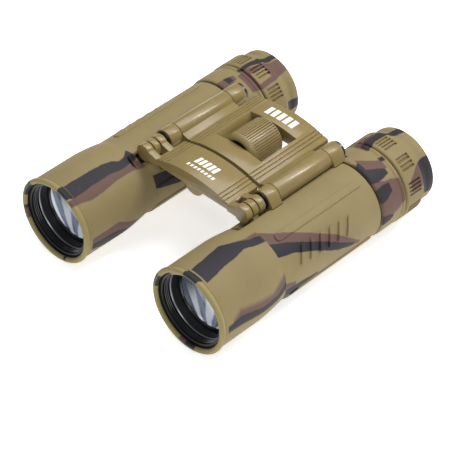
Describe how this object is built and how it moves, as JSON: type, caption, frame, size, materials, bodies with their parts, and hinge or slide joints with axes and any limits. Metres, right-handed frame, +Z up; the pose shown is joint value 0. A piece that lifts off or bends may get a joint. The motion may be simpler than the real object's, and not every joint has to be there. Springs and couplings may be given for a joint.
{
  "type": "binoculars",
  "caption": "Compact double-hinge roof-prism binoculars: round rubber-armoured barrels in camouflage that fold on a khaki centre bridge with a knurled focus wheel.",
  "frame": {"origin": "bottom centre of the object's box, midway between the barrels and midway along them, on the surface they lie on", "axes": "+Y from the objectives to the eyepieces, +Z up out of the bridge's top, +X towards the wearer's left barrel"},
  "size_m": [0.1, 0.111, 0.0395],
  "materials": {
    "camouflage_rubber": "matt moulded rubber in khaki with charcoal and red-brown camouflage",
    "satin_khaki_metal": "satin painted die-casting",
    "khaki_grip": "knurled moulding",
    "brass": "turned",
    "steel": "ground",
    "blackened_steel": "blackened, polished",
    "black_plastic": "matt black",
    "black_shell": "satin black moulding",
    "optical_glass": "polished",
    "coated_glass": "polished, bluish coating"
  },
  "bodies": {
    "bridge": {"rear_bridge": "satin_khaki_metal", "bridge_bottom_plate": "satin_khaki_metal", "bottom_plate_screws": "steel", "axle_bush": "brass", "left_hinge_rod": "steel", "right_hinge_rod": "steel", "hinge_washers": "black_plastic", "hinge_end_screws": "blackened_steel"},
    "focus_wheel": {"focus_wheel_hub": "black_plastic", "focus_wheel_grip": "khaki_grip", "focus_screw": "steel", "wheel_clip": "steel"},
    "front_bridge": {"front_bridge": "satin_khaki_metal", "focus_nut": "brass"},
    "left_barrel": {"left_barrel_shell": "black_shell", "left_armour": "camouflage_rubber", "left_rear_collar": "camouflage_rubber", "left_prism_cage": "black_plastic", "left_roof_prism": "optical_glass", "left_half_penta_prism": "optical_glass", "left_prism_clip": "steel", "left_field_stop": "black_plastic", "left_eyepiece_tube": "black_plastic", "left_field_lens": "optical_glass", "left_eye_lens": "optical_glass", "left_eye_lens_ring": "black_plastic", "left_grip_ring": "camouflage_rubber", "left_eyecup": "camouflage_rubber"},
    "right_barrel": {"right_barrel_shell": "black_shell", "right_armour": "camouflage_rubber", "right_rear_collar": "camouflage_rubber", "right_prism_cage": "black_plastic", "right_roof_prism": "optical_glass", "right_half_penta_prism": "optical_glass", "right_prism_clip": "steel", "right_field_stop": "black_plastic"},
    "right_eyepiece": {"right_eyepiece_tube": "black_plastic", "right_field_lens": "optical_glass", "right_eye_lens": "optical_glass", "right_eye_lens_ring": "black_plastic"},
    "diopter_ring": {"diopter_ring": "camouflage_rubber", "right_eyecup": "camouflage_rubber"},
    "left_objective": {"left_objective_tube": "black_plastic", "left_crown_lens": "coated_glass", "left_flint_lens": "coated_glass", "left_retaining_ring": "black_plastic"},
    "right_objective": {"right_objective_tube": "black_plastic", "right_crown_lens": "coated_glass", "right_flint_lens": "coated_glass", "right_retaining_ring": "black_plastic"}
  },
  "joints": [
    {"name": "left_barrel_fold", "type": "hinge", "parent": "bridge", "child": "left_barrel", "pos_m": [0.0239, 0, 0.0327], "axis": [0, 1, 0], "range_deg": [-12, 44]},
    {"name": "right_barrel_fold", "type": "hinge", "parent": "bridge", "child": "right_barrel", "pos_m": [-0.0239, 0, 0.0327], "axis": [0, -1, 0], "range_deg": [-12, 44]},
    {"name": "focus_wheel_turn", "type": "hinge", "parent": "bridge", "child": "focus_wheel", "pos_m": [0, 0.0115, 0.032], "axis": [0, 1, 0], "range_deg": [-81, 361]},
    {"name": "front_bridge_slide", "type": "slide", "parent": "bridge", "child": "front_bridge", "axis": [0, -1, 0], "range_m": [-0.00078, 0.0035]},
    {"name": "left_objective_slide", "type": "slide", "parent": "left_barrel", "child": "left_objective", "axis": [0, -1, 0], "range_m": [-0.0008, 0.00351]},
    {"name": "right_objective_slide", "type": "slide", "parent": "right_barrel", "child": "right_objective", "axis": [0, -1, 0], "range_m": [-0.0008, 0.00351]},
    {"name": "diopter_turn", "type": "hinge", "parent": "right_barrel", "child": "diopter_ring", "pos_m": [-0.0331, 0.0441, 0.0169], "axis": [0, 1, 0], "range_deg": [-60, 60]},
    {"name": "right_eyepiece_slide", "type": "slide", "parent": "right_barrel", "child": "right_eyepiece", "axis": [0, 1, 0], "range_m": [-0.00079, 0.00079]}
  ],
  "couplings": [
    {"joint": "focus_wheel_turn", "follows": "front_bridge_slide", "rad_per_m": 1795.2},
    {"joint": "left_objective_slide", "follows": "front_bridge_slide", "ratio": 1},
    {"joint": "right_objective_slide", "follows": "front_bridge_slide", "ratio": 1},
    {"joint": "diopter_turn", "follows": "right_eyepiece_slide", "rad_per_m": 1309}
  ]
}
